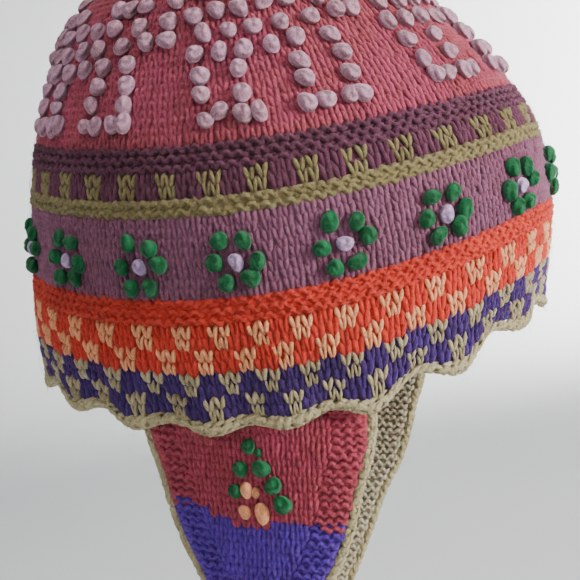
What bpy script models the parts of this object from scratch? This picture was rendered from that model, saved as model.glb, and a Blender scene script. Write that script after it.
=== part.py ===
"""Knitted hat with ear flaps: a banded cap on an oval head form, and two lined flaps.

The wearer faces -Y and +Z is up. The origin is the inside top of the crown, where the hat
sits on the head. Heights are measured from the plain rim upwards.
"""
import math
from collections import namedtuple

import bmesh
import bpy
from mathutils import Vector

# Cap, over its fullest part
CAP_LENGTH = 0.202
CAP_WIDTH = 0.165
WALL = 0.0032
GAP = 0.0003

# Heights of the bands, from the rim up to the crown
RIM_EDGING_HEIGHT = 0.0040
VIOLET_CHECK_HEIGHT = 0.0136
ORANGE_CHECK_HEIGHT = 0.0145
ORANGE_RIDGE_HEIGHT = 0.0079
FLOWER_BAND_HEIGHT = 0.0242
OLIVE_RIDGE_HEIGHT = 0.0058
PLUM_TEETH_HEIGHT = 0.0076
PLUM_RIDGE_HEIGHT = 0.0082
CROWN_HEIGHT = 0.0722

# How far the rows sag over the ears and climb at the back, at the rim and at the crown's base
RIM_EAR_DIP = 0.0205
CROWN_EAR_DIP = 0.0096
RIM_BACK_LIFT = 0.0043
CROWN_BACK_LIFT = 0.0085

# Garter ridges stand proud of the plain knitting
RIDGE_SWELL = 0.0010
ORANGE_RIDGE_COUNT = 3
OLIVE_RIDGE_COUNT = 2
PLUM_RIDGE_COUNT = 3

# The crochet edging swells past the cap on its outer side, and the rim ruffles with it
EDGING_SWELL = 0.0007
RUFFLE_COUNT = 22
RUFFLE_DROP = 0.0030
RUFFLE_FLARE = 0.0022

# Ear flaps
FLAP_WIDTH = 0.083
FLAP_LENGTH = 0.108
FLAP_SET_BACK = 0.0127
FLAP_LEAN = math.radians(11.0)
FLAP_TUCK_UNDER_RIM = 0.0065
FLAP_TURN_IN = 0.0080
FLAP_WALL = 0.0022
FLAP_LINING_WALL = 0.0016
FLAP_CLEARANCE = 0.0008
FLAP_ROSE_LENGTH = 0.0325
NOTCH_DEPTH = 0.0075
NOTCH_WIDTH = 0.029
FLAP_EDGING_WIDTH = 0.0038
FLAP_EDGING_CLEARANCE = 0.0005

# Fineness of the faceted surfaces
CAP_SEGMENTS = 64
RIM_SEGMENTS = 4 * RUFFLE_COUNT
FLAP_COLUMNS = 8
EDGING_STEPS = 12
PROBE = 0.0002
MERGE = 0.00001

COLLECTION_NAME = "chullo_hat"

# Side outline of the cap, laid over a round dome that closes at the top.
# height: share of the cap's height. front, back: reach from the ears' plane, as shares of
# half the cap's length.
Section = namedtuple("Section", "height front back")
CAP_SECTIONS = (
    Section(height=0.000, front=0.840, back=1.067),
    Section(height=0.142, front=0.938, back=1.086),
    Section(height=0.284, front=1.011, back=1.072),
    Section(height=0.455, front=1.073, back=1.091),
    Section(height=0.597, front=1.065, back=1.113),
    Section(height=0.739, front=0.998, back=1.173),
    Section(height=0.852, front=0.985, back=1.265),
    Section(height=1.000, front=1.020, back=1.320),
)

# Outline of a flap, laid over a round end.
# height: share of the flap's length, measured down. half: share of half the flap's width.
FlapSection = namedtuple("FlapSection", "height half")
FLAP_SECTIONS = (
    FlapSection(height=0.00, half=1.000),
    FlapSection(height=0.09, half=0.958),
    FlapSection(height=0.18, half=0.892),
    FlapSection(height=0.30, half=0.842),
    FlapSection(height=0.41, half=0.770),
    FlapSection(height=0.54, half=0.628),
    FlapSection(height=0.74, half=0.498),
    FlapSection(height=0.91, half=0.374),
    FlapSection(height=1.00, half=0.310),
)

# Yarn colours, linear
ROSE = (0.42, 0.085, 0.13)
PLUM = (0.085, 0.032, 0.072)
OLIVE = (0.24, 0.20, 0.10)
MAUVE = (0.30, 0.13, 0.24)
ORANGE = (0.58, 0.082, 0.045)
VIOLET = (0.080, 0.035, 0.24)
BEIGE = (0.46, 0.41, 0.29)

# Levels where one band ends and the next begins
RIM_EDGING_TOP = RIM_EDGING_HEIGHT
VIOLET_CHECK_TOP = RIM_EDGING_TOP + VIOLET_CHECK_HEIGHT
ORANGE_CHECK_TOP = VIOLET_CHECK_TOP + ORANGE_CHECK_HEIGHT
ORANGE_RIDGE_TOP = ORANGE_CHECK_TOP + ORANGE_RIDGE_HEIGHT
FLOWER_BAND_TOP = ORANGE_RIDGE_TOP + FLOWER_BAND_HEIGHT
OLIVE_RIDGE_TOP = FLOWER_BAND_TOP + OLIVE_RIDGE_HEIGHT
PLUM_TEETH_TOP = OLIVE_RIDGE_TOP + PLUM_TEETH_HEIGHT
PLUM_RIDGE_TOP = PLUM_TEETH_TOP + PLUM_RIDGE_HEIGHT
CAP_HEIGHT = PLUM_RIDGE_TOP + CROWN_HEIGHT
SEAT_HEIGHT = CAP_HEIGHT - WALL


def clamp(value):
    """The value, kept between 0 and 1."""
    return min(max(value, 0.0), 1.0)


def mix(start, end, share):
    """The value that lies a share of the way from start to end."""
    return start + (end - start) * share


def smooth(rows, column, height):
    """One column of a table at a height, on a smooth curve through its rows."""
    knots = [row.height for row in rows]
    values = [getattr(row, column) for row in rows]
    last = len(rows) - 1

    def slope(index):
        low, high = max(index - 1, 0), min(index + 1, last)
        return (values[high] - values[low]) / (knots[high] - knots[low])

    place = 0
    while place < last - 1 and height > knots[place + 1]:
        place += 1
    span = knots[place + 1] - knots[place]
    share = clamp((height - knots[place]) / span)
    rise = share * share * (3.0 - 2.0 * share)
    leave = share * (1.0 - share) ** 2 * slope(place) * span
    arrive = share * share * (share - 1.0) * slope(place + 1) * span
    return mix(values[place], values[place + 1], rise) + leave + arrive


def round_end(share):
    """Narrowing of a round end, from 1 at its start to 0 at its tip."""
    return math.sqrt(max(1.0 - share * share, 0.0))


def cap_reach(height):
    """Reach of the cap to the front, to the back and to each side at a height."""
    share = height / CAP_HEIGHT
    half_length = round_end(share) * CAP_LENGTH / 2
    front = half_length * smooth(CAP_SECTIONS, "front", share)
    back = half_length * smooth(CAP_SECTIONS, "back", share)
    side = (front + back) / 2 * CAP_WIDTH / CAP_LENGTH
    return front, back, side


def row_level(angle, height):
    """Level of a knitted row at an angle: it sags over the ears and climbs at the back."""
    climb = clamp(height / PLUM_RIDGE_TOP)
    fade = clamp((CAP_HEIGHT - height) / CROWN_HEIGHT)
    dip = fade * mix(RIM_EAR_DIP, CROWN_EAR_DIP, climb)
    lift = fade * mix(RIM_BACK_LIFT, CROWN_BACK_LIFT, climb)
    return height - dip * math.cos(angle) ** 2 + lift * math.sin(angle) - SEAT_HEIGHT


def cap_surface(angle, height):
    """A point on the cap's smooth outer face."""
    front, back, side = cap_reach(height)
    reach = back if math.sin(angle) > 0 else front
    return Vector((side * math.cos(angle), reach * math.sin(angle), row_level(angle, height)))


def ruffle(angle, height):
    """How the rim's ruffle moves a point. It fades out up the violet band."""
    wave = math.cos(RUFFLE_COUNT * (angle - math.pi / 2))
    strength = clamp(1.0 - height / VIOLET_CHECK_TOP) ** 2
    flare = strength * RUFFLE_FLARE / 2 * (1.0 + wave)
    drop = strength * RUFFLE_DROP / 2 * wave
    return Vector((flare * math.cos(angle), flare * math.sin(angle), -drop))


def cap_point(angle, height, depth):
    """A point that lies a depth inside the cap's outer face."""
    if height > CAP_HEIGHT - PROBE:
        return cap_surface(angle, CAP_HEIGHT) - Vector((0.0, 0.0, depth))
    turn = PROBE / CAP_WIDTH
    around = cap_surface(angle + turn, height) - cap_surface(angle - turn, height)
    up = cap_surface(angle, height + PROBE) - cap_surface(angle, height - PROBE)
    inward = up.cross(around).normalized()
    return cap_surface(angle, height) + inward * depth + ruffle(angle, height)


def flap_half_width(down):
    """Half of the flap's width at a distance below the rim."""
    share = down / FLAP_LENGTH
    return round_end(share) * smooth(FLAP_SECTIONS, "half", share) * FLAP_WIDTH / 2


def flap_place(side, across, down, depth):
    """A point of a flap: across towards the back, down from the rim, depth from its face."""
    front, back, half_width = cap_reach(0.0)
    y = FLAP_SET_BACK + across * math.cos(FLAP_LEAN) + down * math.sin(FLAP_LEAN)
    drop = across * math.sin(FLAP_LEAN) - down * math.cos(FLAP_LEAN)
    reach = back if y > 0 else front
    angle = math.asin(y / reach)
    outward = Vector((math.cos(angle) / half_width, math.sin(angle) / reach, 0.0)).normalized()
    rest = clamp(1.0 - down / FLAP_LENGTH)
    turn_in = FLAP_TURN_IN * (1.0 - rest * rest)
    inset = WALL + FLAP_CLEARANCE + depth
    x = half_width * math.cos(angle) - turn_in - inset * outward.x
    z = row_level(0.0, 0.0) + drop
    return Vector((side * x, y - inset * outward.y, z))


def flap_top(across_share):
    """Where the flap starts: it is tucked up inside the rim, along the rim's own line."""
    across = across_share * flap_half_width(0.0)
    y = FLAP_SET_BACK + across * math.cos(FLAP_LEAN)
    front, back, _ = cap_reach(0.0)
    angle = math.asin(y / (back if y > 0 else front))
    rim_rise = row_level(angle, 0.0) - row_level(0.0, 0.0)
    return (across * math.sin(FLAP_LEAN) - rim_rise - FLAP_TUCK_UNDER_RIM) / math.cos(FLAP_LEAN)


def notch_line(across_share):
    """Where rose gives way to violet: a flat line with a point in the middle."""
    across = abs(across_share) * flap_half_width(FLAP_ROSE_LENGTH)
    return FLAP_ROSE_LENGTH + NOTCH_DEPTH * clamp(1.0 - across / (NOTCH_WIDTH / 2))


def flap_tip(across_share):
    """The flap's lower end."""
    return FLAP_LENGTH


def yarn(name, colour):
    """A matt wool material."""
    material = bpy.data.materials.new(name)
    material.use_nodes = True
    shader = material.node_tree.nodes["Principled BSDF"]
    shader.inputs["Base Color"].default_value = (*colour, 1.0)
    shader.inputs["Roughness"].default_value = 0.92
    shader.inputs["Metallic"].default_value = 0.0
    material.diffuse_color = (*colour, 1.0)
    return material


def finish(name, mesh, material, collection):
    """Close a bmesh up and make it an object."""
    bmesh.ops.remove_doubles(mesh, verts=mesh.verts, dist=MERGE)
    bmesh.ops.recalc_face_normals(mesh, faces=mesh.faces)
    data = bpy.data.meshes.new(name)
    mesh.to_mesh(data)
    mesh.free()
    data.materials.append(material)
    data.shade_smooth()
    data.set_sharp_from_angle(angle=math.radians(50))
    piece = bpy.data.objects.new(name, data)
    collection.objects.link(piece)
    return piece


def turned_piece(name, profile, closed, segments, material, collection):
    """Turn a profile of (height, depth) corners once round, then lay it on the head form."""
    mesh = bmesh.new()
    corners = [mesh.verts.new((1.0 - depth, 0.0, height)) for height, depth in profile]
    ends = corners[1:] + corners[:1] if closed else corners[1:]
    edges = [mesh.edges.new(pair) for pair in zip(corners, ends)]
    bmesh.ops.spin(mesh, geom=corners + edges, cent=(0, 0, 0), axis=(0, 0, 1),
                   angle=math.tau, steps=segments, use_merge=True)
    for vert in mesh.verts:
        angle = math.atan2(vert.co.y, vert.co.x)
        vert.co = cap_point(angle, vert.co.z, 1.0 - math.hypot(vert.co.x, vert.co.y))
    return finish(name, mesh, material, collection)


def plain_side(bottom, top, rows, depth=0.0):
    """Corners of a plain face from bottom to top."""
    return [(mix(bottom, top, row / rows), depth) for row in range(rows + 1)]


def ridged_side(bottom, top, ridges):
    """Corners of a face with rounded ridges, one groove between each two."""
    steps = 2 * ridges
    return [(mix(bottom, top, step / steps), -RIDGE_SWELL if step % 2 else 0.0)
            for step in range(steps + 1)]


def band(name, bottom, top, outer, inner_rows, segments, material, collection):
    """A closed band: its outer side as given, and a plain inner side a wall deeper."""
    inner = plain_side(top, bottom, inner_rows, WALL)
    return turned_piece(name, outer + inner, True, segments, material, collection)


def build_cap(yarns, collection):
    """The crown and the bands under it, each in its own yarn."""
    half = GAP / 2

    base = PLUM_RIDGE_TOP + half
    start = math.asin(base / CAP_HEIGHT)
    outer_rows, inner_rows = 9, 7
    outer = [(CAP_HEIGHT * math.sin(mix(math.pi / 2, start, row / outer_rows)), 0.0)
             for row in range(outer_rows + 1)]
    inner = [(CAP_HEIGHT * math.sin(mix(start, math.pi / 2, row / inner_rows)), WALL)
             for row in range(inner_rows + 1)]
    turned_piece("crown", outer + inner, False, CAP_SEGMENTS, yarns["rose"], collection)

    bottom, middle, top = OLIVE_RIDGE_TOP + half, PLUM_TEETH_TOP, PLUM_RIDGE_TOP - half
    outer = [(bottom, 0.0)] + ridged_side(middle, top, PLUM_RIDGE_COUNT)
    band("plum_band", bottom, top, outer, 2, CAP_SEGMENTS, yarns["plum"], collection)

    bottom, top = FLOWER_BAND_TOP + half, OLIVE_RIDGE_TOP - half
    outer = ridged_side(bottom, top, OLIVE_RIDGE_COUNT)
    band("olive_ridge", bottom, top, outer, 1, CAP_SEGMENTS, yarns["olive"], collection)

    bottom, top = ORANGE_RIDGE_TOP + half, FLOWER_BAND_TOP - half
    outer = plain_side(bottom, top, 4)
    band("flower_band", bottom, top, outer, 2, CAP_SEGMENTS, yarns["mauve"], collection)

    bottom, top = ORANGE_CHECK_TOP + half, ORANGE_RIDGE_TOP - half
    outer = ridged_side(bottom, top, ORANGE_RIDGE_COUNT)
    band("orange_ridge", bottom, top, outer, 1, CAP_SEGMENTS, yarns["orange"], collection)

    bottom, top = VIOLET_CHECK_TOP + half, ORANGE_CHECK_TOP - half
    outer = plain_side(bottom, top, 2)
    band("orange_check_band", bottom, top, outer, 2, CAP_SEGMENTS, yarns["orange"], collection)

    bottom, top = RIM_EDGING_TOP + half, VIOLET_CHECK_TOP - half
    outer = plain_side(bottom, top, 3)
    band("violet_check_band", bottom, top, outer, 2, RIM_SEGMENTS, yarns["violet"], collection)

    bottom, top = 0.0, RIM_EDGING_TOP - half
    outer = [(bottom, 0.0), (mix(bottom, top, 0.35), -EDGING_SWELL),
             (mix(bottom, top, 0.75), -EDGING_SWELL), (top, 0.0)]
    band("rim_edging", bottom, top, outer, 1, RIM_SEGMENTS, yarns["beige"], collection)


def flap_panel(name, side, start, end, face, thickness, rows, closing, material, collection):
    """A slab of the flap between two lines across it, laid on the flap's curved surface.

    start and end give the distance down at a share across. face is the depth of its outer
    side. A closing slab ends in the flap's round tip, with its rows closer together there.
    """
    mesh = bmesh.new()
    bmesh.ops.create_grid(mesh, x_segments=FLAP_COLUMNS, y_segments=rows, size=1.0)
    bmesh.ops.solidify(mesh, geom=mesh.faces[:], thickness=1.0)
    low = min(vert.co.z for vert in mesh.verts)
    for vert in mesh.verts:
        share = (1.0 - vert.co.y) / 2
        if closing:
            share = math.sin(share * math.pi / 2)
        down = mix(start(vert.co.x), end(vert.co.x), share)
        across = vert.co.x * flap_half_width(down)
        vert.co = flap_place(side, across, down, face + (vert.co.z - low) * thickness)
    return finish(name, mesh, material, collection)


def rose_end(across_share):
    """Lower line of the rose panel."""
    return notch_line(across_share) - GAP / 2


def violet_start(across_share):
    """Upper line of the violet panel."""
    return notch_line(across_share) + GAP / 2


def flap_edging(name, side, material, collection):
    """The crochet cord that runs down one edge of the flap, round its tip and up the other."""
    radius = FLAP_EDGING_WIDTH / 2
    thickness = FLAP_WALL + GAP + FLAP_LINING_WALL
    outline = []
    for step in range(-EDGING_STEPS, EDGING_STEPS + 1):
        share = 1.0 if step < 0 else -1.0
        reach = math.sin((1.0 - abs(step) / EDGING_STEPS) * math.pi / 2)
        down = mix(flap_top(share), FLAP_LENGTH, reach)
        outline.append((share * flap_half_width(down), down))

    curve = bpy.data.curves.new(name, "CURVE")
    curve.dimensions = "3D"
    curve.bevel_depth = radius
    curve.bevel_resolution = 1
    curve.use_fill_caps = True
    spline = curve.splines.new("POLY")
    spline.points.add(len(outline) - 1)
    offset = radius + FLAP_EDGING_CLEARANCE
    for index, (across, down) in enumerate(outline):
        before = outline[max(index - 1, 0)]
        after = outline[min(index + 1, len(outline) - 1)]
        along = Vector((after[0] - before[0], after[1] - before[1])).normalized()
        place = flap_place(side, across + along.y * offset, down - along.x * offset,
                           thickness / 2)
        spline.points[index].co = (*place, 1.0)
    curve.materials.append(material)
    piece = bpy.data.objects.new(name, curve)
    collection.objects.link(piece)
    return piece


def build_flap(suffix, side, yarns, collection):
    """One flap: a rose panel, a violet tip, a beige lining behind both and its edging."""
    lining_face = FLAP_WALL + GAP
    flap_panel("flap_rose_" + suffix, side, flap_top, rose_end, 0.0, FLAP_WALL, 6, False,
               yarns["rose"], collection)
    flap_panel("flap_violet_" + suffix, side, violet_start, flap_tip, 0.0, FLAP_WALL, 6, True,
               yarns["violet"], collection)
    flap_panel("flap_lining_" + suffix, side, flap_top, flap_tip, lining_face,
               FLAP_LINING_WALL, 8, True, yarns["beige"], collection)
    flap_edging("flap_edging_" + suffix, side, yarns["beige"], collection)


def main():
    """Build the hat in an empty scene."""
    for leftover in list(bpy.data.objects):
        bpy.data.objects.remove(leftover)
    collection = bpy.data.collections.new(COLLECTION_NAME)
    bpy.context.scene.collection.children.link(collection)
    yarns = {
        "rose": yarn("yarn_rose", ROSE),
        "plum": yarn("yarn_plum", PLUM),
        "olive": yarn("yarn_olive", OLIVE),
        "mauve": yarn("yarn_mauve", MAUVE),
        "orange": yarn("yarn_orange", ORANGE),
        "violet": yarn("yarn_violet", VIOLET),
        "beige": yarn("yarn_beige", BEIGE),
    }
    build_cap(yarns, collection)
    build_flap("right", -1.0, yarns, collection)
    build_flap("left", 1.0, yarns, collection)


main()
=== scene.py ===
"""Knitted dress of the hat: stitches, purl ridges, knots, crochet edges and loose wool.

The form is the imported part's own. Its surfaces are repeated here, so that every stitch lies on
the cap or on a flap. Lengths are in metres, +Z is up, and the wearer faces -Y.
"""

import math

import bmesh
import bpy
import numpy as np
from bpy.props import FloatProperty, FloatVectorProperty, IntProperty, PointerProperty
from bpy.types import Operator, Panel, PropertyGroup
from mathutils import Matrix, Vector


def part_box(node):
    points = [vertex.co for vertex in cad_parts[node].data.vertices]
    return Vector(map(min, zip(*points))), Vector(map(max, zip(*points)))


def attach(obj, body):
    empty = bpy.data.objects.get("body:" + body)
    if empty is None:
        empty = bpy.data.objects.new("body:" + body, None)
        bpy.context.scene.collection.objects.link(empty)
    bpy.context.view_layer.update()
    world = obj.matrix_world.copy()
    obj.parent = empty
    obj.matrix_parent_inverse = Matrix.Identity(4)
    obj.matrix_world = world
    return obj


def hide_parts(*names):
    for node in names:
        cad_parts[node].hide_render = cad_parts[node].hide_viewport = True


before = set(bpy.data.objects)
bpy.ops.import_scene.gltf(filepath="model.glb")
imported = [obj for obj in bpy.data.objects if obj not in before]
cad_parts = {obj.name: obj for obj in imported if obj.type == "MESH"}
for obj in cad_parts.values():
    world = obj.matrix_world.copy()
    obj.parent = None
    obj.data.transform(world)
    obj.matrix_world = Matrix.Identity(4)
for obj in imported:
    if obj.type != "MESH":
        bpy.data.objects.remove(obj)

bl_info = {
    "name": "Knitted ear-flap hat",
    "version": (1, 0, 0),
    "blender": (4, 5, 0),
    "location": "3D View > Sidebar > Hat",
    "description": "Knits the bands, crown and flaps of the hat stitch by stitch",
    "category": "Object",
}

MM = 0.001
SEED = 11

# The cap's form, as in the part's source. The crown's top stands one wall above the origin
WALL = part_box("crown")[1][2]
CAP_LENGTH = 0.202
CAP_WIDTH = 0.165
RIM_EDGING_TOP = 0.0040
VIOLET_CHECK_TOP = 0.0176
ORANGE_CHECK_TOP = 0.0321
ORANGE_RIDGE_TOP = 0.0400
FLOWER_BAND_TOP = 0.0642
OLIVE_RIDGE_TOP = 0.0700
PLUM_TEETH_TOP = 0.0776
PLUM_RIDGE_TOP = 0.0858
CROWN_HEIGHT = 0.0722
CAP_HEIGHT = PLUM_RIDGE_TOP + CROWN_HEIGHT
SEAT_HEIGHT = CAP_HEIGHT - WALL
RIM_EAR_DIP = 0.0205
CROWN_EAR_DIP = 0.0096
RIM_BACK_LIFT = 0.0043
CROWN_BACK_LIFT = 0.0085
GAP = 0.0003

# How far to each side the cap's slope is felt, and what is left below its very top
PROBE = 0.0002
TIP = 0.0000004

# Height share, reach to the front and reach to the back
CAP_SECTIONS = np.array((
    (0.000, 0.840, 1.067),
    (0.142, 0.938, 1.086),
    (0.284, 1.011, 1.072),
    (0.455, 1.073, 1.091),
    (0.597, 1.065, 1.113),
    (0.739, 0.998, 1.173),
    (0.852, 0.985, 1.265),
    (1.000, 1.020, 1.320),
))

# The rim's uneven ruffle: shares of the way round where it dips, how deep, and how high the rim
# climbs after each dip, in millimetres
RUFFLE = np.array((
    (0.3620, 2.3, 2.0), (0.4147, 2.6, 1.4), (0.4687, 2.4, 0.5), (0.5135, 1.5, 0.9),
    (0.5700, 2.8, 2.6), (0.6350, 3.0, 4.2), (0.7000, 2.2, 2.4), (0.7620, 2.7, 1.2),
    (0.8200, 1.9, 2.2), (0.8810, 2.9, 1.6), (0.9430, 2.4, 1.0), (1.0010, 2.0, 2.0),
    (1.0630, 2.8, 1.5), (1.1220, 2.1, 2.3), (1.1830, 2.9, 1.1), (1.2400, 2.0, 1.9),
    (1.3020, 2.7, 1.4), (1.3620, 2.3, 2.0)))
RUFFLE_FLARE = 0.0024

# How far the check bands are pulled round out of even spacing: share of the way, and shift
PULLS = np.array((
    (0.380, 0.0), (0.404, 0.0013), (0.435, 0.0045), (0.460, 0.0020), (0.486, -0.0008),
    (0.509, -0.0042), (0.535, -0.0062), (0.561, -0.0065), (0.588, -0.0055), (0.617, -0.0042),
    (0.646, -0.0020), (0.680, 0.0)))

# The flaps' form, as in the part's source
FLAP_WIDTH = 0.083
FLAP_LENGTH = 0.108
FLAP_SET_BACK = 0.0127
FLAP_LEAN = math.radians(11.0)
FLAP_TUCK_UNDER_RIM = 0.0065
FLAP_TURN_IN = 0.0080
FLAP_WALL = 0.0022
FLAP_LINING_WALL = 0.0016
FLAP_CLEARANCE = 0.0008
FLAP_ROSE_LENGTH = 0.0325
NOTCH_DEPTH = 0.0075
NOTCH_WIDTH = 0.029

# Share of the flap's length, and share of half its width
FLAP_SECTIONS = np.array((
    (0.00, 1.000),
    (0.09, 0.958),
    (0.18, 0.892),
    (0.30, 0.842),
    (0.41, 0.770),
    (0.54, 0.628),
    (0.74, 0.498),
    (0.91, 0.374),
    (1.00, 0.310),
))
SIDES = (("right", -1.0), ("left", 1.0))

# Bands: node, ground yarn, bottom and top
BANDS = (
    ("violet_check_band", "violet", RIM_EDGING_TOP, VIOLET_CHECK_TOP),
    ("orange_check_band", "orange", VIOLET_CHECK_TOP, ORANGE_CHECK_TOP),
    ("orange_ridge", "orange", ORANGE_CHECK_TOP, ORANGE_RIDGE_TOP),
    ("flower_band", "mauve", ORANGE_RIDGE_TOP, FLOWER_BAND_TOP),
    ("olive_ridge", "olive", FLOWER_BAND_TOP, OLIVE_RIDGE_TOP),
    ("plum_band", "plum", OLIVE_RIDGE_TOP, PLUM_RIDGE_TOP),
)

# Rows of stitches, and how far round the plum band's first stitch starts, in stitches
CHECK_ROWS = 4
FLOWER_ROWS = 8
TOOTH_ROWS = 2
TOOTH_PHASE = 0.32

# Width of a light pair of stitches at its foot and at its top, as shares of an even width
VIOLET_NARROW = 0.64
ORANGE_NARROW = 0.76
TOOTH_NARROW = 0.86
LIGHT_TOP = 1.04

# The cloth behind the stitches: its steps round and up a band, and the size of its stitches
WALL_STEPS = 132
WALL_ROWS = 4
WALL_STITCHES = 140
CROWN_WALL_STITCHES = 120
WALL_ROW = 0.0031
FLAP_WALL_STITCH = 0.0036
FLAP_WALL_ROW = 0.0029

# How far the flaps' cloth lies inside their face, how thick their lining's cloth is, how much of
# the usual depth the ridges' cloth has, and how near two points are the same
FLAP_FACE_DEPTH = 0.0005
FLAP_LINING_THICKNESS = 0.0010
RIDGE_DEPTH_SHARE = 0.4
WELD = 0.00002

# Yarns: label, record slot and colour as red, green and blue of 255
YARNS = {
    "rose": ("Rose crown", "yarn_rose", (156, 66, 78)),
    "plum": ("Plum", "yarn_plum", (90, 43, 62)),
    "olive": ("Olive", "yarn_olive", (126, 112, 72)),
    "mauve": ("Mauve", "yarn_mauve", (128, 76, 98)),
    "orange": ("Orange", "yarn_orange", (196, 50, 34)),
    "peach": ("Peach checks", "yarn_orange", (236, 158, 110)),
    "violet": ("Violet checks", "yarn_violet", (62, 34, 94)),
    "stone": ("Grey-beige checks", "yarn_beige", (172, 156, 118)),
    "edging": ("Beige edging", "yarn_beige", (178, 162, 120)),
    "flap_rose": ("Rose flaps", "yarn_rose", (166, 63, 77)),
    "flap_violet": ("Violet flap tips", "yarn_violet", (86, 46, 152)),
    "lining": ("Beige lining", "yarn_beige", (190, 176, 146)),
    "green": ("Green knots", "yarn_olive", (8, 92, 48)),
    "lilac": ("Lilac knots", "yarn_mauve", (184, 152, 186)),
    "pale": ("Pale figure knots", "yarn_rose", (180, 134, 148)),
}

# What the heathered parts of a yarn are of its colour: usually, and in the rose yarns
HEATHER = (0.80, 0.84, 0.92)
HEATHERS = {"rose": (0.80, 0.74, 1.0), "flap_rose": (0.82, 0.76, 0.95)}

# How every wool's surface takes the light
WOOL_SURFACE = {
    "Specular IOR Level": 0.2,
    "Subsurface Weight": 0.35,
    "Subsurface Radius": (1.0, 0.8, 0.8),
    "Subsurface Scale": 0.0011,
    "Sheen Weight": 0.25,
    "Sheen Roughness": 0.5,
}

# The llamas: for each row of knots from the feet up, how many stitches along they stand
FIGURE_ROWS = (
    (0.0, 1.4, 3.6, 5.0, 9.3, 10.7, 13.0, 14.3),
    (0.0, 3.8, 9.8, 14.0),
    (-0.2, 3.9, 10.3, 14.4),
    (-0.6, 1.8, 4.8, 7.7, 10.6, 14.0),
    (-3.8, 0.4, 3.2, 6.3, 9.6, 12.8, 16.2),
    (-4.0, -0.7, 1.9, 5.1, 8.2, 11.2, 14.9),
    (-3.2, 0.4, 3.4, 10.9, 12.8, 15.1),
    (-3.4, 11.4, 13.6),
    (-3.6, 11.6, 14.0),
)

# Stitches round the hat at the figures, where each figure starts, and its feet and rows
FIGURE_ROUND = 136
FIGURE_STARTS = (22.3, 44.9, 67.5, 89.4, 112.0, 134.8)
FIGURE_FOOT = 0.0928
FIGURE_RISE = 0.0064

# Green knots of two flowers, millimetres along and up from the flower's middle
FLOWERS = (
    ((-3.6, 7.2), (5.0, 5.6), (7.9, 0.8), (-7.6, 0.0), (-4.4, -6.4), (3.2, -6.1)),
    ((-4.5, 6.7), (3.6, 6.1), (7.1, -0.4), (-7.5, 0.5), (-4.4, -5.7), (4.0, -4.9)),
)
FLOWER_COUNT = 16
FLOWER_FIRST = 0.0665
FLOWER_MIDDLE = 0.0499

# Knots of the flaps: millimetres towards the back, millimetres down, and half width
FLAP_GREENS = ((0.8, 6.5, 2.6), (-2.5, 8.6, 1.6), (4.3, 15.0, 2.8), (-3.5, 14.2, 3.1),
               (-7.5, 20.2, 3.2), (6.8, 23.2, 2.6), (-10.7, 26.8, 3.3))
FLAP_PEACHES = ((2.5, 22.6, 2.3), (-0.8, 23.2, 1.5), (-3.0, 30.6, 2.7), (3.6, 30.8, 2.0))

# Where the stitches turn from rose to violet: millimetres towards the back, and down
FLAP_CHANGE = np.array(((-34.0, 29.5), (-24.0, 29.5), (-14.0, 33.5), (-1.0, 38.0), (8.0, 33.5),
                        (20.0, 34.0), (32.0, 37.0)))

# Knots: half width, half height and rise in millimetres, and how much they narrow downwards,
# and the half width that the flaps' knots are measured by
PALE_KNOT = (3.2, 3.7, 2.5, 0.14)
GREEN_KNOT = (3.15, 3.2, 2.5, 0.04)
LILAC_KNOT = (2.9, 3.0, 2.0, 0.10)
FLAP_GREEN_KNOT = (3.1, 3.2, 2.1, 0.05)
FLAP_PEACH_KNOT = (3.1, 4.6, 2.1, 0.05)
FLAP_KNOT_HALF_WIDTH = 3.0

# The crown's stitch, and how long its short top rounds are at most, their fewest stitches and
# their stitch
CROWN_STITCH = 0.0040
CROWN_TOP_ROUND = 0.045
CROWN_TOP_FEWEST = 5
CROWN_TOP_STITCH = 0.0035

# Crochet: cord radius and size of its links, where the rim's cord runs, how far outside the
# flap's edge the flap's does, and how much shorter the crochet is than that edge
RIM_CORD = 0.90 * MM
RIM_LINK_SIZE = 0.72
RIM_CORD_HEIGHT = 2.2 * MM
RIM_CORD_DEPTH = 1.0 * MM
FLAP_CORD = 0.80 * MM
FLAP_LINK_SIZE = 0.76
FLAP_CORD_OFFSET = 1.5 * MM
FLAP_CORD_REST = 4.0 * MM
FLAP_CORD_STEPS = 120

# The flaps' stitches: depth of their backs outside and in the lining, purls along each edge,
# and where the first row starts, which is tucked up inside the rim
FLAP_STITCH_DEPTH = 0.0011
FLAP_LINING_DEPTH = 0.0008
FLAP_BORDER = 3
FLAP_ROWS_START = -0.004

# Stitch templates, in millimetres: across the stitch, up the row and out of the cloth
STITCH_WIDE = 4.0
STITCH_TALL = 3.2
RIDGE_TALL = 2.7
LEG_PATH = ((2.28, -1.45, -0.20), (2.70, 0.55, 0.58), (3.18, 2.60, 0.72), (3.45, 4.55, 0.05))
LEG_RADII = (0.68, 1.02, 1.06, 0.68)
OPEN_PATH = ((2.15, -0.85, -0.05), (2.60, 0.75, 1.05), (3.18, 2.20, 1.15), (3.85, 3.75, 0.15))
OPEN_RADII = (0.48, 0.82, 0.84, 0.46)
HEAD_LOOP = ((0.40, 0.55, -0.1), (1.12, 1.58, 0.85), (2.0, 1.95, 1.05), (2.88, 1.58, 0.85),
             (3.60, 0.55, -0.1))
SINKER_LOOP = ((2.40, 2.15, -0.1), (3.12, 1.12, 0.75), (4.0, 0.75, 0.95), (4.88, 1.12, 0.75),
               (5.60, 2.15, -0.1))
LOOP_RADII = (0.62, 0.96, 1.02, 0.96, 0.62)


def linear(red, green, blue):
    """Scene colour of a screen colour that is given in 0 to 255."""
    return tuple((c / 255 / 12.92 if c <= 10 else ((c / 255 + 0.055) / 1.055) ** 2.4)
                 for c in (red, green, blue))


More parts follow.
